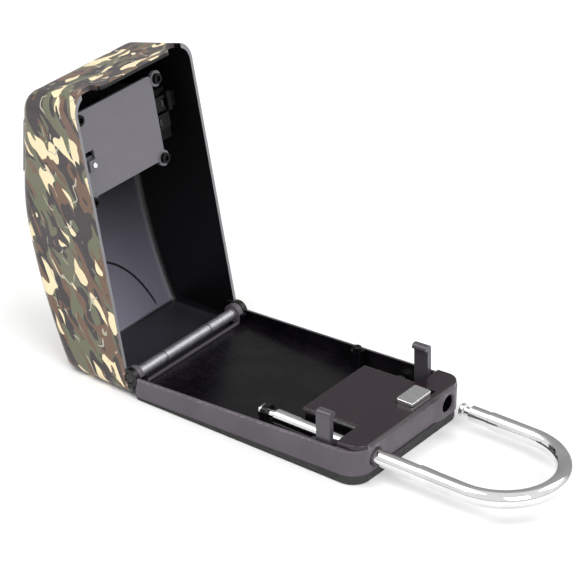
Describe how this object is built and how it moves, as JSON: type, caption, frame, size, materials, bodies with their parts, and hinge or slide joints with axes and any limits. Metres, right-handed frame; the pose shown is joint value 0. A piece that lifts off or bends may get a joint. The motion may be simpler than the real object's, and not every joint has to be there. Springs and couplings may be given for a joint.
{
  "type": "padlock key safe",
  "caption": "Portable key safe with a camouflage lid standing open on its hinge, a tray base, a number lock in the lid and a pull-out padlock shackle.",
  "frame": {"origin": "centre of the base's flat back face", "axes": "+X towards the shackle along the base, +Y to the safe's left seen from the hinge, +Z out of the back face towards the closed lid"},
  "size_m": [0.2963, 0.09, 0.1526],
  "materials": {
    "camouflage_lid": "satin camouflage outside, black inside",
    "tray_grey": "satin",
    "pad_black": "matte",
    "cover_dark": "satin",
    "plate_grey": "satin",
    "chrome": "polished",
    "steel": "brushed",
    "spring_steel": "bright",
    "black_plastic": "fine grain",
    "wheel_black": "gloss",
    "brass": "turned"
  },
  "bodies": {
    "base": {"back_pad": "pad_black", "base_tray": "tray_grey", "lock_cover": "cover_dark", "cover_screws": "steel", "near_hook": "tray_grey", "far_hook": "tray_grey", "hook_screws": "steel", "hinge_pin": "steel", "locating_peg": "tray_grey", "release_leaf": "spring_steel"},
    "release_block": {"release_slide": "steel"},
    "stop_block": {"shackle_stop": "tray_grey"},
    "shackle_group": {"shackle": "chrome", "shackle_clip": "spring_steel"},
    "lid": {"lid_shell": "camouflage_lid", "lock_plate": "plate_grey", "lock_plate_screws": "steel", "dial_housing": "black_plastic", "dial_axle": "steel", "dial_detent_spring": "spring_steel", "dial_bezel": "black_plastic", "cover_pin": "steel", "button_spring": "spring_steel", "near_latch_spring": "spring_steel", "far_latch_spring": "spring_steel"},
    "cover_flap": {"weather_cover": "black_plastic"},
    "button": {"open_button": "black_plastic"},
    "latch_near_side": {"near_latch": "steel"},
    "latch_far_side": {"far_latch": "steel"},
    "lever": {"code_lever": "plate_grey", "code_lever_pin": "steel"},
    "dial_1": {"dial_wheel_1": "wheel_black", "dial_sleeve_1": "brass"},
    "dial_2": {"dial_wheel_2": "wheel_black", "dial_sleeve_2": "brass"},
    "dial_3": {"dial_wheel_3": "wheel_black", "dial_sleeve_3": "brass"},
    "dial_4": {"dial_wheel_4": "wheel_black", "dial_sleeve_4": "brass"}
  },
  "joints": [
    {"name": "lid_hinge", "type": "hinge", "parent": "base", "child": "lid", "pos_m": [-0.0703, 0, 0.0105], "axis": [0, -1, 0], "range_deg": [-100, 0]},
    {"name": "shackle_slide", "type": "slide", "parent": "base", "child": "stop_block", "axis": [1, 0, 0], "range_m": [-0.024, 0]},
    {"name": "shackle_swivel", "type": "hinge", "parent": "stop_block", "child": "shackle_group", "pos_m": [0.005, -0.0305, 0.012], "axis": [1, 0, 0], "continuous": true},
    {"name": "release_slide_move", "type": "slide", "parent": "base", "child": "release_block", "axis": [0, 1, 0], "range_m": [0, 0.003]},
    {"name": "button_press", "type": "slide", "parent": "lid", "child": "button", "axis": [0.9745, 0, 0.2244], "range_m": [0, 0.004], "stiffness_N_per_m": 400, "springref_m": -0.004, "deforming": ["button_spring"]},
    {"name": "near_latch_slide", "type": "slide", "parent": "lid", "child": "latch_near_side", "axis": [0, 1, 0], "range_m": [0, 0.0024], "deforming": ["near_latch_spring"]},
    {"name": "far_latch_slide", "type": "slide", "parent": "lid", "child": "latch_far_side", "axis": [0, -1, 0], "range_m": [0, 0.0024], "deforming": ["far_latch_spring"]},
    {"name": "code_lever_slide", "type": "slide", "parent": "lid", "child": "lever", "axis": [-0.2244, 0, 0.9745], "range_m": [0, 0.004]},
    {"name": "weather_cover_hinge", "type": "hinge", "parent": "lid", "child": "cover_flap", "pos_m": [-0.14226, 0, 0.09548], "axis": [0, -1, 0], "range_deg": [0, 120]},
    {"name": "dial_1_turn", "type": "hinge", "parent": "lid", "child": "dial_1", "pos_m": [-0.13108, -0.02425, 0.10939], "axis": [0, 1, 0], "continuous": true},
    {"name": "dial_2_turn", "type": "hinge", "parent": "lid", "child": "dial_2", "pos_m": [-0.13108, -0.01475, 0.10939], "axis": [0, 1, 0], "continuous": true},
    {"name": "dial_3_turn", "type": "hinge", "parent": "lid", "child": "dial_3", "pos_m": [-0.13108, -0.00525, 0.10939], "axis": [0, 1, 0], "continuous": true},
    {"name": "dial_4_turn", "type": "hinge", "parent": "lid", "child": "dial_4", "pos_m": [-0.13108, 0.00425, 0.10939], "axis": [0, 1, 0], "continuous": true}
  ],
  "couplings": [
    {"joint": "near_latch_slide", "follows": "button_press", "ratio": 0.6},
    {"joint": "far_latch_slide", "follows": "button_press", "ratio": 0.6}
  ]
}
